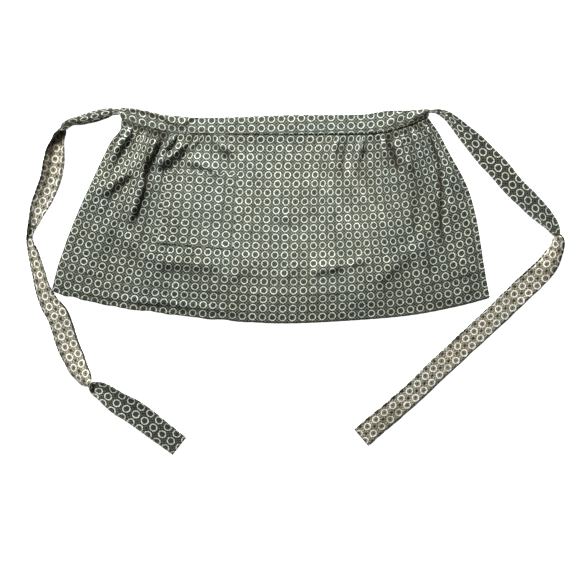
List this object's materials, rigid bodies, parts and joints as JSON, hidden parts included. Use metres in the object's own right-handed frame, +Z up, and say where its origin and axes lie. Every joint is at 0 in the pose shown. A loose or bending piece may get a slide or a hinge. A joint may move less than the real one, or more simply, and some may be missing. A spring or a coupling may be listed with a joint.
{
  "type": "kitchen apron",
  "caption": "Waist apron of ring-printed cotton, laid flat: gathered skirt panel, folded waistband, patch pocket and a long tie at each end.",
  "frame": {"origin": "on the surface the apron lies on, under the middle of its outline", "axes": "+X along the waistband to the right of the picture, +Y from the hem to the waistband, +Z up out of the printed front"},
  "size_m": [0.801, 0.5215, 0.0121],
  "materials": {
    "skirt_cotton": "plain woven cotton, printed with off-white rings on dark grey-green",
    "band_cotton": "plain woven cotton with the same print",
    "pocket_cotton": "plain woven cotton with the same print",
    "tie_cotton": "plain woven cotton with the same print, paler on its wrong side"
  },
  "bodies": {
    "root": {"skirt_panel": "skirt_cotton", "waistband": "band_cotton", "pocket": "pocket_cotton", "tie_left": "tie_cotton", "tie_right": "tie_cotton"}
  },
  "joints": []
}
